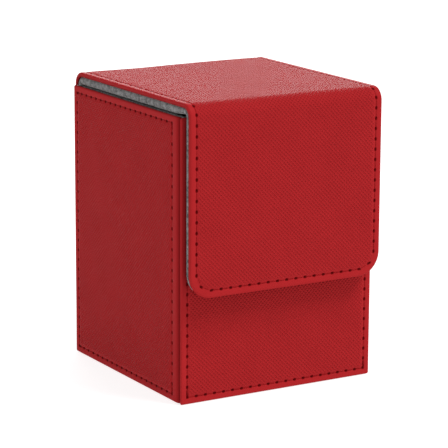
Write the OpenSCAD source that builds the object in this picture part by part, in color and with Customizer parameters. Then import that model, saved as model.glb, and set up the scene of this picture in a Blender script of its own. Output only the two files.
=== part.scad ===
// Flip-top card deck box: wrapped and stitched board walls round a soft-lined well, with a lid and a
// front flap that are one band with the back wall, and fold at the top of the back and of the front.

/* [Box] */
// Outside width, left to right
box_w = 78; // [50:1:140]
// Outside depth of the walls, front to back, without the flap
box_d = 79; // [40:1:160]
// Height of the rim of the walls
rim_h = 100.4; // [70:0.1:160]
// Crease between the front panel and the side panels
seam_gap = 0.4; // [0.2:0.1:1]

/* [Wrapped panels] */
// Thickness of the leatherette skin
skin_t = 0.6; // [0.5:0.1:1.2]
// Thickness of the board inside each panel
board_t = 1; // [0.8:0.1:3]
// Thickness of the microfibre lining on the walls and the floor
lining_t = 1.5; // [0.5:0.1:4]

/* [Lid and flap] */
// Thickness of the padded lining under the lid and behind the flap
pad_t = 2.2; // [1:0.1:4]
// How far the lid and the flap stand in from the box's sides
band_inset = 0.3; // [0:0.1:1]
// How far the pad stands back from the lid's and the flap's edges
pad_inset = 0.3; // [0.1:0.1:2]
// Air between the lid's pad and the rim
lid_gap = 1.3; // [0.5:0.1:3]
// Air between the flap's pad and the front panel
flap_gap = 1.4; // [0.5:0.1:3]
// Height of the back fold's straight foot above the rim
fold_foot = 0.4; // [0.2:0.1:1]
// Length of the flap, from the top of the lid to its lower edge
flap_l = 67.2; // [34:0.1:72]
// Radius of the flap's lower corners
flap_corner_r = 8.5; // [5:0.5:15]
// Space that the lid's and the flap's boards leave at each fold, so that it can bend
board_stop = 0.5; // [0.3:0.1:2]

/* [Magnets] */
// Diameter of the closure's disc magnets
magnet_d = 12; // [8:1:16]
// Distance between the two magnets of a pair, centre to centre
magnet_spacing = 36; // [20:1:44]
// Height of the magnets above the flap's lower edge
magnet_rise = 14; // [10:1:20]
// Space round a magnet in its board
magnet_fit = 0.1; // [0.05:0.05:0.4]

/* [Stitching] */
// Distance from a panel's edge to its line of stitches
stitch_inset = 2.5; // [1.8:0.1:4]
// The same at the front edge of the side panels
side_front_inset = 4.4; // [1.8:0.1:6]
// Length of one stitch and the needle hole after it
stitch_pitch = 3.7; // [2:0.1:6]
// Space between two stitches, where the needle goes in
needle_gap = 0.9; // [0.4:0.1:1.5]
// Width of the thread
thread_w = 0.6; // [0.3:0.1:1]
// Thickness of the thread, and the depth of the groove it lies in
thread_t = 0.3; // [0.1:0.05:0.4]
// Space on each side of the thread in its groove
thread_fit = 0.15; // [0.05:0.05:0.3]

/* [Hidden] */

$fn = 64;
cut = 1; // overshoot of a cut past the face it opens

panel_t = skin_t + board_t;
lid_rise = panel_t + pad_t + lid_gap;   // from the rim to the top of the lid
flap_rise = panel_t + pad_t + flap_gap; // from the front panel to the face of the flap
top_z = rim_h + lid_rise;
fold_r = lid_rise - fold_foot;          // outside radius of both folds
fold_z = top_z - fold_r;                // where the folds begin, on the back and on the flap

total_d = box_d + flap_rise;
back_y = total_d / 2;
flap_y = -total_d / 2;
front_y = back_y - box_d;
lid_back_y = back_y - fold_r;
lid_front_y = flap_y + fold_r;
lid_l = lid_back_y - lid_front_y;

between_w = box_w - 2 * panel_t;        // between the side panels
band_w = box_w - 2 * band_inset;        // across the lid and the flap
side_front_y = front_y + panel_t + seam_gap;
side_l = back_y - side_front_y;
side_mid_y = (back_y + side_front_y) / 2;
floor_front_y = front_y + panel_t;
floor_back_y = back_y - panel_t;
floor_l = floor_back_y - floor_front_y;
floor_top = panel_t + lining_t;
side_lining_l = floor_l - 2 * lining_t;

flap_bottom_z = top_z - flap_l;
flap_panel_l = fold_z - flap_bottom_z;
magnet_z = flap_bottom_z + magnet_rise;

skin_red = [0.61, 0.14, 0.15];
thread_red = [0.42, 0.05, 0.06];
microfibre_grey = [0.46, 0.45, 0.44];
board_grey = [0.62, 0.58, 0.52];
nickel = [0.78, 0.78, 0.8];

// Each panel is drawn flat: x across, y up from its lower edge, its outer face at z = 0 and its
// thickness below it. These stand it where it belongs.

module facing_front(y) { translate([0, y, 0]) rotate([90, 0, 0]) children(); }
module facing_back() { translate([0, back_y, 0]) rotate([90, 0, 180]) children(); }
module facing_left() { translate([-box_w / 2, side_mid_y, 0]) rotate([90, 0, -90]) children(); }
module facing_right() { translate([box_w / 2, side_mid_y, 0]) rotate([90, 0, 90]) children(); }
module facing_down() { translate([0, floor_back_y, 0]) rotate([180, 0, 0]) children(); }
module facing_up() { translate([0, lid_front_y, top_z]) children(); }
module on_flap() { translate([0, 0, flap_bottom_z]) facing_front(flap_y) children(); }

// A flat plate, its outer face a depth below the panel's
module plate(w, l, t, depth = 0, start = 0) {
    translate([-w / 2, start, -depth - t]) cube([w, l, t]);
}

// A leatherette skin: a face, and edges turned down round the board. The start and the end stay
// open, with a stop of 0, where the skin runs on into a fold.
module wrapped_skin(w, l, start_edge = skin_t, end_edge = skin_t) {
    open_start = start_edge > 0 ? start_edge : -cut;
    open_end = end_edge > 0 ? end_edge : -cut;
    difference() {
        plate(w, l, panel_t);
        plate(w - 2 * skin_t, l - open_start - open_end, board_t + cut, skin_t, open_start);
    }
}

module panel_board(w, l, start_edge = skin_t, end_edge = skin_t) {
    plate(w - 2 * skin_t, l - start_edge - end_edge, board_t, skin_t, start_edge);
}

// Stitches end to end along +x, with half a needle gap at each end
module stitch_row(run) {
    count = max(1, round(run / stitch_pitch));
    step = run / count;
    for (i = [0 : count - 1])
        translate([i * step + needle_gap / 2, -thread_w / 2, -thread_t])
            cube([step - needle_gap, thread_w, thread_t]);
}

module groove_row(run) {
    width = thread_w + 2 * thread_fit;
    translate([0, -width / 2, -thread_t]) cube([run, width, thread_t + cut]);
}

// Rows round a rectangular panel, near and far in from its -x and +x edges, and a stitch inset in
// from the other two
module round_panel(w, l, near, far) {
    across = w - near - far;
    along = l - 2 * stitch_inset;
    for (y = [stitch_inset, l - stitch_inset])
        translate([near - w / 2, y, 0]) panel_row(across) children();
    for (x = [near - w / 2, w / 2 - far])
        translate([x, stitch_inset, 0]) rotate(90) panel_row(along) children();
}

// Hands the run of a row to the stitches and to the groove that holds them
module panel_row(run) {
    $run = run;
    children();
}

module panel_stitches(w, l, near = stitch_inset, far = stitch_inset) {
    round_panel(w, l, near, far) stitch_row($run);
}

module stitched_skin(w, l, end_edge = skin_t, near = stitch_inset, far = stitch_inset) {
    difference() {
        wrapped_skin(w, l, skin_t, end_edge);
        round_panel(w, l, near, far) groove_row($run);
    }
}

// The two rows along the lid
module lid_rows() {
    for (side = [-1, 1])
        translate([side * (band_w / 2 - stitch_inset), 0, 0]) rotate(90) panel_row(lid_l) children();
}

// The flap's outline, drawn in from its edge, with round lower corners
module flap_outline(inset, top = flap_panel_l) {
    r = flap_corner_r - inset;
    centre_x = band_w / 2 - flap_corner_r;
    for (side = [-1, 1]) translate([side * centre_x, flap_corner_r]) circle(r);
    translate([-centre_x, inset]) square([2 * centre_x, top - inset]);
    translate([-centre_x - r, flap_corner_r]) square([2 * (centre_x + r), top - flap_corner_r]);
}

module flap_plate(inset, t, depth, top = flap_panel_l) {
    translate([0, 0, -depth - t]) linear_extrude(t) flap_outline(inset, top);
}

// The flap's line of stitches: down one side, round the corners and up the other
module flap_stitch_line() {
    bend_r = flap_corner_r - stitch_inset;
    centre_x = band_w / 2 - flap_corner_r;
    for (side = [-1, 1])
        translate([side * (centre_x + bend_r), flap_corner_r, 0]) rotate(90)
            stitch_row(flap_panel_l - flap_corner_r);
    translate([-centre_x, stitch_inset, 0]) stitch_row(2 * centre_x);
    count = max(1, round(bend_r * PI / 2 / stitch_pitch));
    step = 90 / count;
    chord = bend_r * step * PI / 180 - needle_gap;
    for (side = [-1, 1], i = [0 : count - 1])
        translate([side * centre_x, flap_corner_r, 0]) rotate(side * (i + 0.5) * step)
            translate([-chord / 2, -bend_r - thread_w / 2, -thread_t])
                cube([chord, thread_w, thread_t]);
}

// The groove leaves room for straight stitches on the way round the corners
module flap_groove() {
    half = thread_w / 2 + 2 * thread_fit;
    translate([0, 0, -thread_t]) linear_extrude(thread_t + cut) difference() {
        flap_outline(stitch_inset - half, flap_panel_l + cut);
        flap_outline(stitch_inset + half, flap_panel_l + 2 * cut);
    }
}

// A pair of discs in the board's thickness
module magnet_pair(z) {
    for (side = [-1, 1])
        translate([side * magnet_spacing / 2, z, -panel_t]) cylinder(d = magnet_d, h = board_t);
}

module magnet_holes(z) {
    for (side = [-1, 1])
        translate([side * magnet_spacing / 2, z, -panel_t - cut])
            cylinder(d = magnet_d + 2 * magnet_fit, h = board_t + 2 * cut);
}

// A layer of a fold, seen from its side: a quarter ring about the fold's centre line
module fold_layer(depth, t, inset = 0) {
    r_out = fold_r - depth;
    translate([inset - band_w / 2, 0, 0]) rotate([90, 0, 90]) linear_extrude(band_w - 2 * inset)
        intersection() {
            difference() {
                circle(r_out);
                circle(r_out - t);
            }
            square(r_out + cut);
        }
}

module back_fold(depth, t, inset = 0) {
    translate([0, lid_back_y, fold_z]) fold_layer(depth, t, inset);
    translate([inset - band_w / 2, back_y - depth - t, rim_h])
        cube([band_w - 2 * inset, t, fold_foot]);
}

module front_fold(depth, t, inset = 0) {
    translate([0, lid_front_y, fold_z]) mirror([0, 1, 0]) fold_layer(depth, t, inset);
}

// Skins

module bottom_skin() { color(skin_red) facing_down() wrapped_skin(between_w, floor_l); }
module front_skin() { color(skin_red) facing_front(front_y) stitched_skin(box_w, rim_h); }
module back_skin() { color(skin_red) facing_back() stitched_skin(between_w, rim_h, 0); }

module left_skin() {
    color(skin_red) facing_left() stitched_skin(side_l, rim_h, far = side_front_inset);
}

module right_skin() {
    color(skin_red) facing_right() stitched_skin(side_l, rim_h, near = side_front_inset);
}

module lid_skin() {
    color(skin_red) facing_up() difference() {
        wrapped_skin(band_w, lid_l, 0, 0);
        lid_rows() groove_row($run);
    }
}

module flap_skin() {
    color(skin_red) on_flap() difference() {
        flap_plate(0, panel_t, 0);
        flap_plate(skin_t, board_t + cut, skin_t, flap_panel_l + cut);
        flap_groove();
    }
}

module back_fold_skin() { color(skin_red) back_fold(0, panel_t); }
module front_fold_skin() { color(skin_red) front_fold(0, panel_t); }

// Boards

module floor_board() { color(board_grey) facing_down() panel_board(between_w, floor_l); }
module back_board() { color(board_grey) facing_back() panel_board(between_w, rim_h, skin_t, 0); }
module left_board() { color(board_grey) facing_left() panel_board(side_l, rim_h); }
module right_board() { color(board_grey) facing_right() panel_board(side_l, rim_h); }

module front_board() {
    color(board_grey) facing_front(front_y) difference() {
        panel_board(box_w, rim_h);
        magnet_holes(magnet_z);
    }
}

module lid_board() {
    color(board_grey) facing_up() panel_board(band_w, lid_l, board_stop, board_stop);
}

module flap_board() {
    color(board_grey) on_flap() difference() {
        flap_plate(skin_t, board_t, skin_t, flap_panel_l - board_stop);
        magnet_holes(magnet_rise);
    }
}

// Linings

module floor_lining() {
    color(microfibre_grey) facing_down() plate(between_w, floor_l, lining_t, panel_t);
}

module wall_lining(w) {
    plate(w, rim_h - floor_top, lining_t, panel_t, floor_top);
}

module front_lining() { color(microfibre_grey) facing_front(front_y) wall_lining(between_w); }
module back_lining() { color(microfibre_grey) facing_back() wall_lining(between_w); }

module side_lining(x) {
    translate([x, floor_front_y + lining_t, floor_top])
        cube([lining_t, side_lining_l, rim_h - floor_top]);
}

module left_lining() { color(microfibre_grey) side_lining(-between_w / 2); }
module right_lining() { color(microfibre_grey) side_lining(between_w / 2 - lining_t); }

module lid_lining() {
    color(microfibre_grey) facing_up() plate(band_w - 2 * pad_inset, lid_l, pad_t, panel_t);
}

module flap_lining() { color(microfibre_grey) on_flap() flap_plate(pad_inset, pad_t, panel_t); }
module back_fold_lining() { color(microfibre_grey) back_fold(panel_t, pad_t, pad_inset); }
module front_fold_lining() { color(microfibre_grey) front_fold(panel_t, pad_t, pad_inset); }

// Magnets

module front_magnets() { color(nickel) facing_front(front_y) magnet_pair(magnet_z); }
module flap_magnets() { color(nickel) on_flap() magnet_pair(magnet_rise); }

// Stitching

module front_stitching() { color(thread_red) facing_front(front_y) panel_stitches(box_w, rim_h); }
module back_stitching() { color(thread_red) facing_back() panel_stitches(between_w, rim_h); }

module left_stitching() {
    color(thread_red) facing_left() panel_stitches(side_l, rim_h, far = side_front_inset);
}

module right_stitching() {
    color(thread_red) facing_right() panel_stitches(side_l, rim_h, near = side_front_inset);
}

module lid_stitching() { color(thread_red) facing_up() lid_rows() stitch_row($run); }
module flap_stitching() { color(thread_red) on_flap() flap_stitch_line(); }

bottom_skin();
front_skin();
back_skin();
left_skin();
right_skin();
floor_board();
front_board();
back_board();
left_board();
right_board();
floor_lining();
front_lining();
back_lining();
left_lining();
right_lining();
front_magnets();
front_stitching();
back_stitching();
left_stitching();
right_stitching();
lid_skin();
lid_board();
lid_lining();
lid_stitching();
back_fold_skin();
back_fold_lining();
flap_skin();
flap_board();
flap_lining();
flap_magnets();
flap_stitching();
front_fold_skin();
front_fold_lining();
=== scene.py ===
import math
import random

import bmesh
import bpy
from mathutils import Matrix, Vector, kdtree, noise


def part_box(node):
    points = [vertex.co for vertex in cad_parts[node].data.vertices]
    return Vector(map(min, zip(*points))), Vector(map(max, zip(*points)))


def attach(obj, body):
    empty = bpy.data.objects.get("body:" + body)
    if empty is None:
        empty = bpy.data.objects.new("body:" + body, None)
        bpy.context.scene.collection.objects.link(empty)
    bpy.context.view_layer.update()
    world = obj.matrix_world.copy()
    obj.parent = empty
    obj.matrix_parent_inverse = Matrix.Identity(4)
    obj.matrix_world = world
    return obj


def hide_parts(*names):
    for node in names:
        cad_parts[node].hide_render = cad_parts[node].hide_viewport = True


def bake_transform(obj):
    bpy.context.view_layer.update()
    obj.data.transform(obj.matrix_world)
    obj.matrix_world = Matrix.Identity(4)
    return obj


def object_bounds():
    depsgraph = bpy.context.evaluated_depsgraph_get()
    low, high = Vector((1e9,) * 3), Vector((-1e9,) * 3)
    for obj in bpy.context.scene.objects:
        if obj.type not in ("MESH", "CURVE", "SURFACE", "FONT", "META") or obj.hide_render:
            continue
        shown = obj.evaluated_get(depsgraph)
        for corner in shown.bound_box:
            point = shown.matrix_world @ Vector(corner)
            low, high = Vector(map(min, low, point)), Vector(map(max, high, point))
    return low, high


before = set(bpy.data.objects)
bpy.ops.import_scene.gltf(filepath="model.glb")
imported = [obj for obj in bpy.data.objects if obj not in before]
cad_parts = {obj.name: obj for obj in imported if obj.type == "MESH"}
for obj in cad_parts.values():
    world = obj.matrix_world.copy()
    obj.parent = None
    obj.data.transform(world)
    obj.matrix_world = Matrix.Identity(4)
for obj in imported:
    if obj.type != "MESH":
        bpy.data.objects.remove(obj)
cadLow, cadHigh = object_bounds()
mm = 0.001


def nodeBox(name):  # a CAD part's corners, in millimetres
    low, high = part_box(name)
    return low / mm, high / mm


# Sizes of the box, read from its parts, in millimetres
boxLow, boxHigh = cadLow / mm, cadHigh / mm
halfW = boxHigh.x
bandHalfW = nodeBox("lid_skin")[1].x
topZ, backY, flapY = boxHigh.z, boxHigh.y, boxLow.y
frontLow, frontHigh = nodeBox("front_skin")
frontY, rimZ = frontLow.y, frontHigh.z
panelT = frontHigh.y - frontLow.y  # skin and board together
sideLow, sideHigh = nodeBox("left_skin")
backLow, backHigh = nodeBox("back_skin")
floorLow, floorHigh = nodeBox("bottom_skin")
skinT = nodeBox("front_board")[0].y - frontY
padLow, padHigh = nodeBox("lid_lining")
padT = padHigh.z - padLow.z
padInset = bandHalfW - padHigh.x
foldLow, foldHigh = nodeBox("front_fold_skin")
foldR = foldHigh.z - foldLow.z
foldZ = topZ - foldR
lidFrontY, lidBackY = flapY + foldR, backY - foldR
flapBottomZ = nodeBox("flap_skin")[0].z
flapL = foldZ - flapBottomZ
lidL = lidBackY - lidFrontY
foldArc = foldR * math.pi / 2
foldFoot = foldZ - rimZ

camera = {
    "azimuth": -30.78,  # degrees round from the front, to the left
    "elevation": 12.861,
    "roll": 0.289,
    "lens": 183.31,  # on a 36 mm sensor
    "distance": 835.81,  # mm
    "target": (5.712, 9.834, 49.860),  # mm
}


def addCamera():
    a, e = math.radians(camera["azimuth"]), math.radians(camera["elevation"])
    back = Vector((math.sin(a) * math.cos(e), -math.cos(a) * math.cos(e), math.sin(e)))
    data = bpy.data.cameras.new("camera")
    data.lens = camera["lens"]
    data.sensor_width = 36
    data.clip_start, data.clip_end = 0.05, 20
    obj = bpy.data.objects.new("camera", data)
    bpy.context.scene.collection.objects.link(obj)
    turn = (-back).to_track_quat("-Z", "Y").to_matrix().to_4x4()
    place = Matrix.Translation((Vector(camera["target"]) + back * camera["distance"]) * mm)
    obj.matrix_world = place @ turn @ Matrix.Rotation(math.radians(camera["roll"]), 4, "Z")
    bpy.context.scene.camera = obj


studio = {
    "world": 0.53,  # strength of the white surround
    # each light: where it stands, watts per square metre, degrees across
    "key": ((0.36, -0.36, 0.86), 2.5, 24.0),  # high, in front and to the right
    "back": ((0.48, 0.84, 0.34), 1.25, 40.0),  # low behind, for the sheen on the lid
}


def addSurround():
    world = bpy.data.worlds.new("studio")
    world.use_nodes = True
    background = world.node_tree.nodes["Background"]
    background.inputs["Color"].default_value = (1, 1, 1, 1)
    background.inputs["Strength"].default_value = studio["world"]
    bpy.context.scene.world = world
    bpy.context.scene.view_settings.view_transform = "Standard"


def addSun(name):
    place, strength, across = studio[name]
    data = bpy.data.lights.new(name + "Softbox", "SUN")
    data.energy = strength
    data.angle = math.radians(across)
    obj = bpy.data.objects.new(name + "Softbox", data)
    bpy.context.scene.collection.objects.link(obj)
    obj.matrix_world = (-Vector(place)).to_track_quat("-Z", "Y").to_matrix().to_4x4()


def toLinear(hexColour):  # an sRGB hex value as linear red, green, blue, alpha
    parts = [int(hexColour[i : i + 2], 16) / 255 for i in (1, 3, 5)]
    return (*(c / 12.92 if c <= 0.04045 else ((c + 0.055) / 1.055) ** 2.4 for c in parts), 1.0)


def newMaterial(name):
    material = bpy.data.materials.new(name)
    material.use_nodes = True
    material.node_tree.nodes.clear()
    return material, material.node_tree


# Adds a node, sets what is in settings, and fills its inputs by name or number: a socket of
# another node is linked, anything else is its value. Gives back the output named or numbered
def addNode(tree, kind, inputs=None, output=0, **settings):
    node = tree.nodes.new(kind)
    for key, value in settings.items():
        setattr(node, key, value)
    for key, value in (inputs or {}).items():
        if isinstance(value, bpy.types.NodeSocket):
            tree.links.new(value, node.inputs[key])
        else:
            node.inputs[key].default_value = value
    return node.outputs[output] if node.outputs else None


leatherette = {
    "colour": "#A42326",
    "deep": "#7C1417",  # darker dye gathered in the valleys of the grain, with painted shade there
    "hole": "#5C0608",  # painted shade inside a needle hole
    "valleyShade": 0.3,  # how much of the deep colour a valley takes: gathered dye and painted shade
    "mottleShade": 0.14,
    "creaseShade": 0.05,  # how much painted shade a seam's groove takes between its holes
    "turnedEdgePaintedShade": 0.5,  # how much painted shade the edges take that are turned in between two panels and down over the board
    "grainPitch": 1.04,  # mm between the lines of the cross-hatch
    "grainDepth": 0.28,  # mm
    "poreSize": 0.16,  # mm, coarser than real pores so that they show
    "poreShare": 0.05,  # of the grain's depth
    "mottle": 14.0,  # mm across a patch of uneven dye
    "holeLength": 0.82,  # mm from the middle of a needle hole to its end, along the seam
    "holeWidth": 0.54,
    "borderRoughness": 0.42,
    "grainRoughness": 0.46,
    "gloss": 0.012,
}


# Polyurethane leatherette, embossed hot with a diagonal cross-hatch: a deep red with little gloss,
# whose grain catches the light in fine slanting lines, with a smooth border pressed flat by the
# sewing, and painted shade in its needle holes, its seam grooves, where it is turned in, and, with
# gathered dye, in the valleys of its grain
def makeLeatherette():
    material, tree = newMaterial("embossedLeatherette")
    flat = addNode(tree, "ShaderNodeUVMap", uv_map="flat")
    slanted = addNode(
        tree,
        "ShaderNodeMapping",
        {
            "Vector": flat,
            "Rotation": (0, 0, math.radians(45)),
            "Scale": (1 / (leatherette["grainPitch"] * mm),) * 3,
        },
    )
    waves = []
    for axis in "XY":
        place = addNode(tree, "ShaderNodeSeparateXYZ", {0: slanted}, output=axis)
        angle = addNode(tree, "ShaderNodeMath", {0: place, 1: 2 * math.pi}, operation="MULTIPLY")
        wave = addNode(tree, "ShaderNodeMath", {0: angle}, operation="SINE")
        waves.append(
            addNode(tree, "ShaderNodeMath", {0: wave, 1: 0.5, 2: 0.5}, operation="MULTIPLY_ADD")
        )
    ridges = addNode(
        tree, "ShaderNodeMath", {0: waves[0], 1: waves[1], 2: 0.35}, operation="SMOOTH_MAX"
    )

    grainShare, holeAlong, holeAcross, paintedShadeOnTurnedEdge = (
        addNode(tree, "ShaderNodeAttribute", output="Fac", attribute_name=name)
        for name in ("grain", "holeAlong", "holeAcross", "paintedShadeOnTurnedEdge")
    )
    along = addNode(
        tree, "ShaderNodeMath", {0: holeAlong, 1: leatherette["holeLength"]}, operation="DIVIDE"
    )
    across = addNode(
        tree, "ShaderNodeMath", {0: holeAcross, 1: leatherette["holeWidth"]}, operation="DIVIDE"
    )
    squared = addNode(tree, "ShaderNodeMath", {0: across, 1: across}, operation="MULTIPLY")
    fromHole = addNode(
        tree, "ShaderNodeMath", {0: along, 1: along, 2: squared}, operation="MULTIPLY_ADD"
    )
    # painted shade inside a needle hole, darkest at its middle
    hole = addNode(tree, "ShaderNodeMapRange", {0: fromHole, 1: 0.45, 2: 1.25, 3: 1.0, 4: 0.0})
    # painted shade along the seam's groove
    crease = addNode(
        tree,
        "ShaderNodeMapRange",
        {0: across, 1: 0.4, 2: 1.3, 3: leatherette["creaseShade"], 4: 0.0},
    )
    # painted shade on the edges turned in between two panels and down over the board
    turned = addNode(
        tree, "ShaderNodeMath", {0: paintedShadeOnTurnedEdge, 1: leatherette["turnedEdgePaintedShade"]}, operation="MULTIPLY"
    )
    # the painted shade of needle holes, seam grooves and turned edges together
    seam = addNode(tree, "ShaderNodeMath", {0: hole, 1: crease}, operation="MAXIMUM")
    dark = addNode(tree, "ShaderNodeMath", {0: seam, 1: turned}, operation="MAXIMUM")

    pores = addNode(
        tree,
        "ShaderNodeTexNoise",
        {"Vector": flat, "Scale": 1 / (leatherette["poreSize"] * mm), "Detail": 2.0},
    )
    patches = addNode(
        tree,
        "ShaderNodeTexNoise",
        {"Vector": flat, "Scale": 1 / (leatherette["mottle"] * mm), "Detail": 3.0},
    )
    uneven = addNode(
        tree,
        "ShaderNodeMapRange",
        {0: patches, 1: 0.3, 2: 0.7, 3: 0.0, 4: leatherette["mottleShade"]},
    )
    # the valleys of the grain take the deep colour: gathered dye with painted shade
    low = addNode(tree, "ShaderNodeMath", {0: 1.0, 1: ridges}, operation="SUBTRACT")
    valley = addNode(tree, "ShaderNodeMath", {0: low, 1: grainShare}, operation="MULTIPLY")
    depth = addNode(
        tree,
        "ShaderNodeMath",
        {0: valley, 1: leatherette["valleyShade"], 2: uneven},
        operation="MULTIPLY_ADD",
    )
    dyed = addNode(
        tree,
        "ShaderNodeMix",
        {0: depth, 6: toLinear(leatherette["colour"]), 7: toLinear(leatherette["deep"])},
        output=2,
        data_type="RGBA",
    )
    # the painted shade darkens the leather towards the hole colour
    colour = addNode(
        tree,
        "ShaderNodeMix",
        {0: dark, 6: dyed, 7: toLinear(leatherette["hole"])},
        output=2,
        data_type="RGBA",
    )
    roughness = addNode(
        tree,
        "ShaderNodeMapRange",
        {
            0: grainShare,
            1: 0.0,
            2: 1.0,
            3: leatherette["borderRoughness"],
            4: leatherette["grainRoughness"],
        },
    )
    grain = addNode(tree, "ShaderNodeMath", {0: ridges, 1: grainShare}, operation="MULTIPLY")
    relief = addNode(
        tree,
        "ShaderNodeMath",
        {0: pores, 1: leatherette["poreShare"], 2: grain},
        operation="MULTIPLY_ADD",
    )
    bump = addNode(
        tree,
        "ShaderNodeBump",
        {"Height": relief, "Distance": leatherette["grainDepth"] * mm, "Strength": 1.0},
    )
    shader = addNode(
        tree,
        "ShaderNodeBsdfPrincipled",
        {
            "Base Color": colour,
            "Roughness": roughness,
            "Normal": bump,
            "Specular IOR Level": leatherette["gloss"],
        },
    )
    addNode(tree, "ShaderNodeOutputMaterial", {"Surface": shader})
    return material


microfibre = {
    "colour": "#858383",
    # painted shade in the low parts of the nap's tufts
    "shadow": "#343232",
    "nap": 1.3,  # mm across a tuft of the brushed nap
    "fibre": 0.12,  # mm
    "fibreShare": 0.35,  # of the nap's depth
    "napDepth": 0.25,  # mm
}


# Microfibre suede, knitted and brushed: matte grey, mottled where the nap lies one way or the
# other, the low parts of its tufts taking painted shade
def makeMicrofibre():
    material, tree = newMaterial("microfibreSuede")
    place = addNode(tree, "ShaderNodeTexCoord", output="Object")
    tufts = addNode(
        tree,
        "ShaderNodeTexNoise",
        {"Vector": place, "Scale": 1 / (microfibre["nap"] * mm), "Detail": 4.0, "Roughness": 0.65},
    )
    fibres = addNode(
        tree,
        "ShaderNodeTexNoise",
        {"Vector": place, "Scale": 1 / (microfibre["fibre"] * mm), "Detail": 2.0},
    )
    blend = addNode(tree, "ShaderNodeMapRange", {0: tufts, 1: 0.36, 2: 0.64, 3: 0.0, 4: 1.0})
    # painted shade where a tuft runs low
    colour = addNode(
        tree,
        "ShaderNodeMix",
        {0: blend, 6: toLinear(microfibre["shadow"]), 7: toLinear(microfibre["colour"])},
        output=2,
        data_type="RGBA",
    )
    relief = addNode(
        tree,
        "ShaderNodeMath",
        {0: fibres, 1: microfibre["fibreShare"], 2: tufts},
        operation="MULTIPLY_ADD",
    )
    bump = addNode(
        tree,
        "ShaderNodeBump",
        {"Height": relief, "Distance": microfibre["napDepth"] * mm, "Strength": 0.9},
    )
    shader = addNode(
        tree,
        "ShaderNodeBsdfPrincipled",
        {
            "Base Color": colour,
            "Roughness": 0.95,
            "Normal": bump,
            "Sheen Weight": 0.35,
            "Sheen Roughness": 0.5,
            "Specular IOR Level": 0.2,
        },
    )
    addNode(tree, "ShaderNodeOutputMaterial", {"Surface": shader})
    return material


thread = {
    # a little darker than the leather: painted shade of the groove the thread lies in
    "colour": "#9C1418",
    # painted shade between the plies
    "dark": "#70090C",
    "twist": 0.55,  # mm from one turn of the ply to the next
    "plyDepth": 0.08,  # mm
}


# Spun polyester sewing thread, dyed to match, its colour a little darker than the leather's as
# painted shade of the groove it lies in: three plies twisted together, with painted shade between
# them, nearly matte
def makeThread():
    material, tree = newMaterial("sewingThread")
    flat = addNode(tree, "ShaderNodeUVMap", uv_map="flat")
    along, around = (
        addNode(tree, "ShaderNodeSeparateXYZ", {0: flat}, output=axis) for axis in "XY"
    )
    turns = addNode(
        tree,
        "ShaderNodeMath",
        {0: along, 1: 2 * math.pi / (thread["twist"] * mm)},
        operation="MULTIPLY",
    )
    angle = addNode(tree, "ShaderNodeMath", {0: turns, 1: around}, operation="ADD")
    wave = addNode(tree, "ShaderNodeMath", {0: angle}, operation="SINE")
    ply = addNode(tree, "ShaderNodeMath", {0: wave, 1: 0.5, 2: 0.5}, operation="MULTIPLY_ADD")
    # darker where the twist runs low between the plies: painted shade
    colour = addNode(
        tree,
        "ShaderNodeMix",
        {0: ply, 6: toLinear(thread["dark"]), 7: toLinear(thread["colour"])},
        output=2,
        data_type="RGBA",
    )
    bump = addNode(tree, "ShaderNodeBump", {"Height": ply, "Distance": thread["plyDepth"] * mm})
    shader = addNode(
        tree,
        "ShaderNodeBsdfPrincipled",
        {"Base Color": colour, "Roughness": 0.7, "Specular IOR Level": 0.05, "Normal": bump},
    )
    addNode(tree, "ShaderNodeOutputMaterial", {"Surface": shader})
    return material


# Bookbinding board, pressed from grey paper pulp: matte, with darker flecks
def makeGreyboard():
    material, tree = newMaterial("greyboard")
    place = addNode(tree, "ShaderNodeTexCoord", output="Object")
    flecks = addNode(
        tree, "ShaderNodeTexNoise", {"Vector": place, "Scale": 1 / (0.6 * mm), "Detail": 5.0}
    )
    colour = addNode(
        tree,
        "ShaderNodeMix",
        {0: flecks, 6: toLinear("#7A7266"), 7: toLinear("#A89F90")},
        output=2,
        data_type="RGBA",
    )
    bump = addNode(tree, "ShaderNodeBump", {"Height": flecks, "Distance": 0.04 * mm})
    shader = addNode(
        tree,
        "ShaderNodeBsdfPrincipled",
        {"Base Color": colour, "Roughness": 0.9, "Normal": bump},
    )
    addNode(tree, "ShaderNodeOutputMaterial", {"Surface": shader})
    return material


# Nickel plate on a sintered magnet: a bright metal, a little dulled by its tumbled surface
def makeNickel():
    material, tree = newMaterial("nickelPlate")
    place = addNode(tree, "ShaderNodeTexCoord", output="Object")
    scuffs = addNode(
        tree, "ShaderNodeTexNoise", {"Vector": place, "Scale": 1 / (1.5 * mm), "Detail": 3.0}
    )
    dull = addNode(tree, "ShaderNodeMapRange", {0: scuffs, 1: 0.3, 2: 0.7, 3: 0.22, 4: 0.38})
    shader = addNode(
        tree,
        "ShaderNodeBsdfPrincipled",
        {"Base Color": toLinear("#C9C4B8"), "Metallic": 1.0, "Roughness": dull},
    )
    addNode(tree, "ShaderNodeOutputMaterial", {"Surface": shader})
    return material


# Opal acrylic lit from below, as product tables are: near white, and shadows on it stay faint
def makeOpalAcrylic():
    material, tree = newMaterial("opalAcrylic")
    shader = addNode(
        tree,
        "ShaderNodeBsdfPrincipled",
        {
            "Base Color": toLinear("#AAAAAA"),
            "Roughness": 0.9,
            "Emission Color": (1, 1, 1, 1),
            "Emission Strength": 0.8,
        },
    )
    addNode(tree, "ShaderNodeOutputMaterial", {"Surface": shader})
    return material


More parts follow.
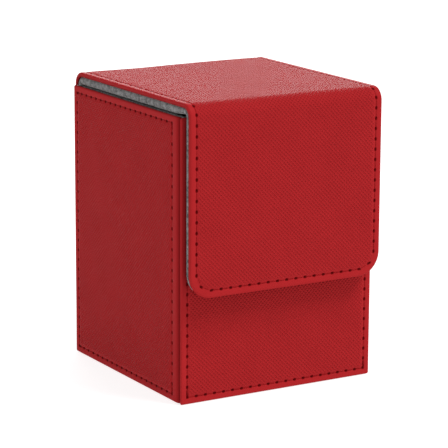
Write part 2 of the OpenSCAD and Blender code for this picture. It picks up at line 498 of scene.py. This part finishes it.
sewing = {
    "pitch": 3.7,  # mm from one needle hole to the next
    "inset": 2.5,  # mm from the edge to the line
    "sideFrontInset": 4.4,  # the same at the front edge of the side panels
    "grooveDepth": 0.1,
    "grooveWidth": 0.42,
    "holeDepth": 0.42,
    "holeLength": 0.5,
    "holeWidth": 0.34,
    "threadR": 0.23,
    "threadShort": 0.8,  # mm that a bar of thread is shorter than its stitch
    "lengthVaries": 0.12,
    "lift": -0.17,  # mm from the leather's face to the middle of the thread
    "liftVaries": 0.03,
    "turnVaries": 0.03,  # radians
    "endDip": 0.36,  # mm that the ends go down into their holes
    "endSlim": 0.45,
    "flatten": 0.8,
}


# The line of a panel's stitches in its own flat plane, as pairs of needle holes. A panel is a
# dictionary: width, length, corner radius, the letters of the edges that are rolled (l, r, b, t),
# and the insets of those that are sewn
def stitchPairs(panel):
    w, l, sewn, r = panel["width"] / 2, panel["length"], panel["sewn"], panel["corner"]
    pairs = []
    if not sewn:
        return pairs
    low = sewn.get("b", 0.0)
    start = max(low, r) if "b" in sewn else 0.0
    high = l - sewn["t"] if "t" in sewn else l
    bend = r - low
    for name, side in (("l", -1), ("r", 1)):
        x = side * (w - sewn[name])
        pairs += splitRun((x, start), (x, high))
        if "b" in sewn and bend > 1:
            pairs += splitArc((side * (w - r), r), bend, side)
    left, right = sewn["l"] - w, w - sewn["r"]
    if bend > 1:
        left, right = r - w, w - r
    if "b" in sewn:
        pairs += splitRun((left, low), (right, low))
    if "t" in sewn:
        pairs += splitRun((left, high), (right, high))
    return pairs


def splitRun(start, end):
    start, end = Vector(start), Vector(end)
    count = max(1, round((end - start).length / sewing["pitch"]))
    points = [start.lerp(end, i / count) for i in range(count + 1)]
    return list(zip(points, points[1:]))


def splitArc(centre, radius, side):
    count = max(1, round(radius * math.pi / 2 / sewing["pitch"]))
    angles = [i / count * math.pi / 2 for i in range(count + 1)]
    points = [
        Vector((centre[0] + side * radius * math.cos(a), centre[1] - radius * math.sin(a)))
        for a in angles
    ]
    return list(zip(points, points[1:]))


# One seam's thread: a short bar of thread from hole to hole, dipping into each
def sewThread(pairs, bend):
    bm = bmesh.new()
    uv = bm.loops.layers.uv.new("flat")
    one = threadBar()
    rng = random.Random(7)
    r = sewing["threadR"]
    for start, end in pairs:
        first, firstFace = len(bm.verts), len(bm.faces)
        bm.from_mesh(one)
        bm.verts.ensure_lookup_table()
        bm.faces.ensure_lookup_table()
        span = end - start
        for face in bm.faces[firstFace:]:
            for loop in face.loops:
                co = loop.vert.co
                loop[uv].uv = ((co.z + 0.5) * span.length * mm, math.atan2(co.y, co.x))
        vary = sewing["lengthVaries"]
        reach = span.length - sewing["threadShort"] + rng.uniform(-vary, vary)
        vary = sewing["liftVaries"]
        lift = sewing["lift"] + rng.uniform(-vary, vary)
        vary = sewing["turnVaries"]
        direction = math.atan2(span.y, span.x) + rng.uniform(-vary, vary)
        middle = (start + end) / 2
        for v in bm.verts[first:]:
            fall = abs(v.co.z * 2) ** 4
            slim = r * (1 - sewing["endSlim"] * fall)
            along, across = v.co.z * reach, v.co.y * slim
            up = v.co.x * slim * sewing["flatten"] + (lift - sewing["endDip"] * fall)
            x = middle.x + along * math.cos(direction) - across * math.sin(direction)
            y = middle.y + along * math.sin(direction) + across * math.cos(direction)
            v.co = bend(x, y, up)
    bpy.data.meshes.remove(one)
    return bm


def threadBar():  # a bar one long and two thick, in rings
    bm = bmesh.new()
    bmesh.ops.create_cone(bm, cap_ends=True, segments=8, radius1=1, radius2=1, depth=1)
    long = [e for e in bm.edges if abs(e.verts[0].co.z - e.verts[1].co.z) > 0.5]
    bmesh.ops.subdivide_edges(bm, edges=long, cuts=5)
    mesh = bpy.data.meshes.new("threadBar")
    bm.to_mesh(mesh)
    bm.free()
    return mesh


wrap = {
    "rollR": 0.6,  # mm, how round the wrapped edge is
    "softWidth": 1.7,  # mm, the front edge of the side panels is rounder
    "softDrop": 0.8,
    "bead": 0.035,  # mm that the border stands proud between the edge and the stitches
    "beadAt": 1.8,  # mm outside the seam
    "beadWidth": 0.7,
    "crown": 0.06,  # mm that the middle swells
    "crownReach": 5.0,
    "uneven": 0.05,  # mm of slow waviness
    "thickness": 0.8,  # of the CAD skin's thickness
    "cell": 3.0,  # mm between the lines of the grid, away from edges and seams
    "edgeBorder": 1.7,  # mm in from an edge that keep to its own lines
    "seamBorder": 1.3,  # the same inside a seam
    "closest": 0.02,  # mm between two lines
    "wallCorner": 0.7,
    "edgeSteps": (0, 0.03, 0.1, 0.22, 0.4, 0.6, 0.9, 1.3, 1.6),
    "seamSteps": (-0.7, -0.42, -0.2, 0, 0.2, 0.42, 0.7, 1.2),
    "stitchSteps": (0, 0.09, 0.2, 0.5, 0.8, 0.91),  # shares of a stitch
    "grainFrom": 0.5,  # mm inside the seam where the grain starts, and where it is whole
    "grainTo": 1.4,
    # the turned-down side, from the rolled edge: mm inwards, mm below the face
    "wallSide": ((0.0, 0.7), (0.4, 0.85), (0.58, 1.0), (0.58, 1.6)),
    "bandSide": ((0.0, 1.3), (0.1, 1.5), (0.3, 1.6)),
}


# Where the grid's lines stand along one side: close together over an edge and its seam, and at
# the needle holes of the seams that run along this side
def gridLines(length, holes, lowEdge, highEdge, lowSeam, highSeam, extra=()):
    count = round(length / wrap["cell"])
    lines = {length * i / count for i in range(count + 1)}
    if len(holes) > 1:
        lines = {a + (b - a) * s for a, b in zip(holes, holes[1:]) for s in wrap["stitchSteps"]}
    lines |= set(extra)
    lowBorder = highBorder = 0.0
    near = set()
    if lowEdge:
        near |= set(wrap["edgeSteps"])
        lowBorder = wrap["edgeBorder"]
    if highEdge:
        near |= {length - s for s in wrap["edgeSteps"]}
        highBorder = wrap["edgeBorder"]
    if lowSeam:
        near |= {lowSeam + s for s in wrap["seamSteps"]}
        lowBorder = lowSeam + wrap["seamBorder"]
    if highSeam:
        near |= {length - highSeam - s for s in wrap["seamSteps"]}
        highBorder = highSeam + wrap["seamBorder"]
    lines = {s for s in lines if lowBorder <= s <= length - highBorder} | near | {0.0, length}
    kept = []
    for s in sorted(lines):
        if not kept or s - kept[-1] > wrap["closest"]:
            kept.append(s)
    return kept


# Moves a point of the square grid onto the panel's round corner, and gives how far it is in from
# the nearest rolled edge and from the seam
def inPanel(x, y, panel):
    w, l, r = panel["width"] / 2, panel["length"], panel["corner"]
    gaps = {"l": w + x, "r": w - x, "b": y, "t": l - y}
    edge = min(gaps[name] for name in panel["rolled"])
    soft = gaps[panel["soft"]] if "soft" in panel else 99.0
    seam = min((gaps[name] - inset for name, inset in panel["sewn"].items()), default=99.0)
    across = abs(x) - (w - r)
    for name, along in (("b", r - y), ("t", y - (l - r))):
        if name in panel["rolled"] and across > 0 and along > 0:
            share = max(across, along) / math.hypot(across, along)
            x = math.copysign(w - r + across * share, x)
            y += (along - along * share) * (1 if name == "b" else -1)
    return x, y, edge, seam, soft


def inwards(x, y, panel):  # the way in from a point of the panel's outline
    w, l, r = panel["width"] / 2, panel["length"], panel["corner"]
    low = r if "b" in panel["rolled"] else -99
    high = l - r if "t" in panel["rolled"] else l + 99
    centre = Vector((min(max(x, r - w), w - r), min(max(y, low), high)))
    way = centre - Vector((x, y))
    return way.normalized()


def skinHeight(x, y, edge, seam, soft, hole):
    z = 0.0
    r = wrap["rollR"]
    if soft < wrap["softWidth"]:
        z -= wrap["softDrop"] * (1 - soft / wrap["softWidth"]) ** 2
    if edge < r:
        z += math.sqrt(max(r * r - (r - edge) ** 2, 0.0)) - r
    z += wrap["bead"] * math.exp(-(((seam + wrap["beadAt"]) / wrap["beadWidth"]) ** 2))
    z += wrap["crown"] * (1 - math.exp(-max(seam, 0) / wrap["crownReach"]))
    z -= sewing["grooveDepth"] * math.exp(-((seam / sewing["grooveWidth"]) ** 2))
    z -= sewing["holeDepth"] * math.exp(-hole)
    if edge > r:
        z += wrap["uneven"] * noise.noise(Vector((x * 0.07, y * 0.07, 3.1)))
    return z


# The skin of a panel: a face with rolled edges, a sewn groove with its needle holes, and sides
# turned down over the board. bend takes flat x, y and height to its place in the box
def wrapSkin(panel, bend, flatStart=0.0, extra=()):
    w, l, r = panel["width"], panel["length"], panel["corner"]
    rolled, sewn = panel["rolled"], panel["sewn"]
    pairs = stitchPairs(panel)
    spots = [(p, (b - a).normalized()) for a, b in pairs for p in (a, b)]
    low = sewn.get("b", 0.0)
    bend0 = r - low if "b" in sewn and r - low > 1 else 0.0
    upright = sorted({round(p.y, 4) for p, way in spots if abs(way.x) < 0.1})
    level = sorted({round(p.x + w / 2, 4) for p, way in spots if abs(way.y) < 0.1})
    turns = [r - bend0 * math.tan(math.radians(a)) for a in range(0, 45, 4)] if bend0 else []
    xs = gridLines(
        w, level, True, True, sewn.get("l"), sewn.get("r"), turns + [w - s for s in turns]
    )
    ys = gridLines(
        l, upright, "b" in rolled, "t" in rolled, low, sewn.get("t"), turns + list(extra)
    )
    bm = bmesh.new()
    names = ("flatU", "flatV", "grain", "holeAlong", "holeAcross", "paintedShadeOnTurnedEdge")
    layers = [bm.verts.layers.float.new(n) for n in names]
    flatU, flatV, grain, holeAlong, holeAcross, paintedShadeOnTurnedEdge = layers
    holes = kdtree.KDTree(max(len(spots), 1))
    for i, (p, way) in enumerate(spots):
        holes.insert((p.x, p.y, 0), i)
    holes.balance()
    bmesh.ops.create_grid(bm, x_segments=len(xs) - 1, y_segments=len(ys) - 1, size=1)
    for v in bm.verts:
        x = xs[round((v.co.x + 1) / 2 * (len(xs) - 1))] - w / 2
        y = ys[round((v.co.y + 1) / 2 * (len(ys) - 1))]
        x, y, edge, seam, soft = inPanel(x, y, panel)
        v[holeAlong] = v[holeAcross] = 9.0
        dip = 99.0
        if spots:
            at, index, _ = holes.find((x, y, 0))
            way = spots[index][1]
            gap = Vector((x - at.x, y - at.y))
            v[holeAlong] = abs(gap.dot(way))
            v[holeAcross] = min(abs(seam), 9.0)
            dip = (gap.dot(way) / sewing["holeLength"]) ** 2 + (seam / sewing["holeWidth"]) ** 2
        v.co = (x, y, skinHeight(x, y, edge, seam, soft, dip))
        v[flatU], v[flatV] = x, y
        share = (seam - wrap["grainFrom"]) / (wrap["grainTo"] - wrap["grainFrom"])
        v[grain] = min(max(share, 0.0), 1.0)
        # painted shade where a side panel's soft front edge rolls into the crease beside the front
        # panel
        v[paintedShadeOnTurnedEdge] = max(0.0, 1 - soft / wrap["softWidth"])
    edges = [e for e in bm.edges if e.is_boundary and isRolled(e, panel)]
    before = 0.0
    for inward, depth in panel["side"]:
        made = bmesh.ops.extrude_edge_only(bm, edges=edges)["geom"]
        edges = [g for g in made if isinstance(g, bmesh.types.BMEdge)]
        for v in {v for e in edges for v in e.verts}:
            way = inwards(v.co.x, v.co.y, panel)
            fall = max(depth + v.co.z, 0.04)
            v[flatU] -= way.x * fall
            v[flatV] -= way.y * fall
            v.co.z -= fall
            # painted shade on the sides turned down over the board
            v[paintedShadeOnTurnedEdge] = 1.0
            v.co.x += way.x * (inward - before)
            v.co.y += way.y * (inward - before)
        before = inward
        fresh = {v for e in edges for v in e.verts if v.co.z < -0.5}
        edges = [e for e in edges if e.is_boundary and fresh.issuperset(e.verts)]
    bmesh.ops.recalc_face_normals(bm, faces=bm.faces)
    if sum(f.normal.z * f.calc_area() for f in bm.faces) < 0:
        bmesh.ops.reverse_faces(bm, faces=bm.faces)
    for v in bm.verts:
        v.co = bend(*v.co)
    bm.normal_update()
    uv = bm.loops.layers.uv.new("flat")
    for face in bm.faces:
        for loop in face.loops:
            loop[uv].uv = (loop.vert[flatU] * mm, (loop.vert[flatV] + flatStart) * mm)
    bmesh.ops.solidify(bm, geom=bm.faces[:], thickness=skinT * wrap["thickness"])
    return bm


def isRolled(edge, panel):
    a, b = (v.co for v in edge.verts)
    openLow = "b" not in panel["rolled"] and max(a.y, b.y) < 1e-4
    openHigh = "t" not in panel["rolled"] and min(a.y, b.y) > panel["length"] - 1e-4
    return not (openLow or openHigh)


lining = {
    "rim": 1.0,  # mm, how round the lid's pad is
    "wallRim": 0.45,  # the same for the linings of the walls
    "sag": 0.95,  # mm that the pad's edges hang below its middle over the lid
    "sagReach": 3.5,  # mm in from the edge
    "sagStart": 6.0,  # mm from the fold until it hangs fully
    "swell": 0.09,  # mm of unevenness
    "cell": 2.5,  # mm between the lines of the grid
}


# A slab of lining, flat, its outer face at a height of -depth: soft round rims, a little uneven
def layLining(
    width, length, thickness, depth, bend, corner=0.0, rim=0.5, openEnds="", extra=(), sagFrom=None
):
    bm = bmesh.new()
    count = round(width / lining["cell"])
    xs = sorted({width * i / count for i in range(count + 1)} | {width - corner, corner})
    rows = round(length / lining["cell"])
    ys = sorted({length * i / rows for i in range(rows + 1)} | set(extra))
    ys = [y for i, y in enumerate(ys) if i == 0 or y - ys[i - 1] > 0.05 or y == length]
    bmesh.ops.create_grid(bm, x_segments=len(xs) - 1, y_segments=len(ys) - 1, size=1)
    shape = {"width": width, "length": length, "corner": corner, "rolled": "lb", "sewn": {}}
    for v in bm.verts:
        x = xs[round((v.co.x + 1) / 2 * (len(xs) - 1))] - width / 2
        y = ys[round((v.co.y + 1) / 2 * (len(ys) - 1))]
        if corner:
            x, y = inPanel(x, y, shape)[:2]
        v.co = (x, y, -depth)
    made = bmesh.ops.extrude_face_region(bm, geom=bm.faces[:])["geom"]
    for v in made:
        if isinstance(v, bmesh.types.BMVert):
            v.co.z -= thickness
    bmesh.ops.recalc_face_normals(bm, faces=bm.faces)
    sharp = [e for e in bm.edges if e.is_manifold and e.calc_face_angle() > 1.2]
    kept = []
    for e in sharp:
        a, b = (v.co for v in e.verts)
        atLow = "b" in openEnds and max(a.y, b.y) < 1e-4
        atHigh = "t" in openEnds and min(a.y, b.y) > length - 1e-4
        if not (atLow or atHigh) and abs(a.z - b.z) < 1e-6:
            kept.append(e)
    bmesh.ops.bevel(
        bm,
        geom=kept,
        offset=rim,
        affect="EDGES",
        segments=4,
        profile=0.5,
        material=-1,
        clamp_overlap=True,
    )
    for v in bm.verts:
        x, y, z = v.co
        away = min(y, length - y)
        wave = noise.noise(Vector((x * 0.22, y * 0.22, z * 0.3)))
        swell = lining["swell"] * wave * min(away, 1.0)
        if sagFrom is not None:
            deep = min(max((-z - depth) / thickness, 0.0), 1.0)
            lidShare = min(max((y - sagFrom) / lining["sagStart"], 0.0), 1.0)
            edge = math.exp(-((width / 2 - abs(x)) / lining["sagReach"]))
            swell -= lining["sag"] * deep * deep * lidShare * edge
        v.co = bend(x, y, z + swell)
    bmesh.ops.recalc_face_normals(bm, faces=bm.faces)
    return bm


def onFront(x, y, z):
    return Vector((x, frontY - z, y))


def onBack(x, y, z):
    return Vector((-x, backY + z, y))


def onLeft(x, y, z):
    return Vector((sideLow.x - z, (sideLow.y + sideHigh.y) / 2 - x, y))


def onRight(x, y, z):
    return Vector((-sideLow.x + z, (sideLow.y + sideHigh.y) / 2 + x, y))


def onFloor(x, y, z):
    return Vector((x, floorHigh.y - y, -z))


settle = {
    "aside": 0.3,  # mm that the band sits to the right
    "dip": 0.3,  # mm that the lid's back edge has sunk, left of its middle
    "dipAt": -14.0,
    "dipWidth": 17.0,
}


def lidDip(x):
    return settle["dip"] * math.exp(-(((x - settle["dipAt"]) / settle["dipWidth"]) ** 2))


# Up the flap, round the front fold and back along the lid
def onBand(x, y, z):
    x += settle["aside"]
    if y <= flapL:
        return Vector((x, flapY - z, flapBottomZ + y))
    if y >= flapL + foldArc:
        along = y - flapL - foldArc
        z -= lidDip(x) * (along / lidL) ** 2
        return Vector((x, lidFrontY + along, topZ + z))
    angle = (y - flapL) / foldR
    r = foldR + z
    return Vector((x, lidFrontY - r * math.cos(angle), foldZ + r * math.sin(angle)))


# Up from the rim at the back, and round the back fold to the lid
def onBackFold(x, y, z):
    x = settle["aside"] - x
    if y <= foldFoot:
        return Vector((x, backY + z, rimZ + y))
    angle = (y - foldFoot) / foldR
    r = foldR + z - lidDip(x) * (y - foldFoot) / foldArc
    return Vector((x, lidBackY + r * math.cos(angle), foldZ + r * math.sin(angle)))


def makePiece(bm, name, material):
    for e in bm.edges:
        e.smooth = not e.is_manifold or e.calc_face_angle() < math.radians(50)
    for face in bm.faces:
        face.smooth = True
    bmesh.ops.transform(bm, matrix=Matrix.Scale(mm, 4), verts=bm.verts)
    mesh = bpy.data.meshes.new(name)
    bm.to_mesh(mesh)
    bm.free()
    mesh.materials.append(material)
    obj = bpy.data.objects.new(name, mesh)
    bpy.context.scene.collection.objects.link(obj)
    return obj


def addPanel(name, skinNode, threadNode, panel, bend, flatStart=0.0):
    skin = makePiece(wrapSkin(panel, bend, flatStart), name + "Leather", leather)
    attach(skin, "box")
    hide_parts(skinNode)
    if threadNode:
        seam = makePiece(sewThread(stitchPairs(panel), bend), name + "Thread", spun)
        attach(seam, "box")
        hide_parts(threadNode)


def addWalls():
    inset, frontInset = sewing["inset"], sewing["sideFrontInset"]
    sewn = {"l": inset, "r": inset, "b": inset, "t": inset}
    wall = {
        "length": rimZ,
        "corner": wrap["wallCorner"],
        "rolled": "lrbt",
        "sewn": sewn,
        "side": wrap["wallSide"],
    }
    addPanel("frontPanel", "front_skin", "front_stitching", {**wall, "width": 2 * halfW}, onFront)
    wall["width"] = sideHigh.y - sideLow.y
    leftPanel = {**wall, "sewn": {**sewn, "r": frontInset}, "soft": "r"}
    addPanel("leftPanel", "left_skin", "left_stitching", leftPanel, onLeft)
    rightPanel = {**wall, "sewn": {**sewn, "l": frontInset}, "soft": "l"}
    addPanel("rightPanel", "right_skin", "right_stitching", rightPanel, onRight)
    wall["width"] = backHigh.x - backLow.x
    addPanel("backPanel", "back_skin", "back_stitching", {**wall, "rolled": "lrb"}, onBack)
    floorPanel = {
        **wall,
        "width": floorHigh.x - floorLow.x,
        "length": floorHigh.y - floorLow.y,
        "sewn": {},
    }
    addPanel("bottomPanel", "bottom_skin", None, floorPanel, onFloor)
    print("walls made")


def addLinings():
    for name, node in (
        ("frontLining", "front_lining"),
        ("backLining", "back_lining"),
        ("leftLining", "left_lining"),
        ("rightLining", "right_lining"),
        ("floorLining", "floor_lining"),
    ):
        low, high = nodeBox(node)
        size = high - low
        thin = min(range(3), key=lambda i: size[i])
        if thin == 2:
            width, length, t = size.x, size.y, size.z

            def place(x, y, z, low=low, high=high):
                return Vector(((low.x + high.x) / 2 + x, low.y + y, high.z + z))

        else:
            t, length = size[thin], size.z
            width = size.y if thin == 0 else size.x
            inner = low[thin] if low[thin] > 0 else high[thin]  # the face towards the cards
            out = -1 if low[thin] > 0 else 1

            def place(x, y, z, low=low, high=high, thin=thin, inner=inner, out=out):
                if thin == 1:
                    return Vector((out * -x, inner + out * z, low.z + y))
                return Vector((inner + out * z, (low.y + high.y) / 2 + out * x, low.z + y))

        bm = layLining(width, length, t, 0.0, place, rim=lining["wallRim"])
        piece = makePiece(bm, name + "Suede", suede)
        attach(piece, "box")
        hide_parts(node)
    print("well lined")


bandShape = {
    "corner": 8.5,  # mm, radius of the flap's lower corners
    "inset": 2.5,  # mm from the edge to the stitches
    "endInset": 2.7,  # the same at the flap's lower edge
    "hem": 1.2,  # mm of the back strip glued under at each end
    "foldLines": 15,  # lines of the grid round a fold
}


def addBand():
    bandL = flapL + foldArc + lidL
    corner = bandShape["corner"]
    inset = bandShape["inset"]
    band = {
        "width": 2 * bandHalfW,
        "length": bandL,
        "corner": corner,
        "rolled": "lrb",
        "sewn": {"l": inset, "r": inset, "b": bandShape["endInset"]},
        "side": wrap["bandSide"],
    }
    count = bandShape["foldLines"]
    foldLines = [flapL + foldArc * i / (count - 1) for i in range(count)]
    skin = makePiece(wrapSkin(band, onBand, 0.0, foldLines), "lidAndFlapLeather", leather)
    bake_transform(skin)
    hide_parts("lid_skin", "front_fold_skin", "flap_skin")

    seam = makePiece(sewThread(stitchPairs(band), onBand), "lidAndFlapThread", spun)
    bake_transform(seam)
    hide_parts("lid_stitching", "flap_stitching")

    padW = 2 * (bandHalfW - padInset)

    def onPad(x, y, z):
        return onBand(x, y + padInset, z)

    bm = layLining(
        padW,
        bandL - padInset,
        padT,
        panelT,
        onPad,
        corner=corner - padInset,
        rim=lining["rim"],
        openEnds="t",
        extra=[y - padInset for y in foldLines],
        sagFrom=flapL + foldArc,
    )
    pad = makePiece(bm, "lidAndFlapPad", suede)
    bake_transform(pad)
    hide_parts("lid_lining", "front_fold_lining", "flap_lining")
    print("lid and flap made")


def addBackFold(flatStart):
    stripL = foldFoot + foldArc
    inset = bandShape["inset"]
    strip = {
        "width": 2 * bandHalfW,
        "length": stripL,
        "corner": 0.1,
        "rolled": "lr",
        "sewn": {"l": inset, "r": inset},
        "side": wrap["bandSide"],
    }
    count = bandShape["foldLines"]
    foldLines = [foldFoot + foldArc * i / (count - 1) for i in range(count)]
    skin = makePiece(wrapSkin(strip, onBackFold, flatStart, foldLines), "backFoldLeather", leather)
    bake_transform(skin)
    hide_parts("back_fold_skin")

    seam = makePiece(sewThread(stitchPairs(strip), onBackFold), "backFoldThread", spun)
    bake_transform(seam)

    bm = layLining(
        2 * (bandHalfW - padInset),
        stripL,
        padT,
        panelT,
        onBackFold,
        rim=lining["rim"],
        openEnds="bt",
        extra=foldLines,
        sagFrom=0.5,
    )
    pad = makePiece(bm, "backFoldPad", suede)
    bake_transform(pad)
    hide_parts("back_fold_lining")
    print("back fold made")


def dressHidden():  # the boards and magnets keep their CAD shapes
    for name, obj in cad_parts.items():
        if name.endswith("_board") or name.endswith("_magnets"):
            finish = board if name.endswith("_board") else nickel
            for slot in obj.material_slots:
                slot.material = finish


def addFloor():
    bm = bmesh.new()
    bmesh.ops.create_grid(bm, x_segments=8, y_segments=8, size=3000)
    bmesh.ops.translate(bm, vec=(0, 0, -0.2), verts=bm.verts)  # just under the box
    floor = makePiece(bm, "studioFloor", makeOpalAcrylic())


addCamera()
addSurround()
addSun("key")
addSun("back")
addFloor()
print("studio set up")

leather, suede, spun = makeLeatherette(), makeMicrofibre(), makeThread()
board, nickel = makeGreyboard(), makeNickel()
addWalls()
addLinings()
addBand()
addBackFold(-(foldFoot + foldArc))
dressHidden()
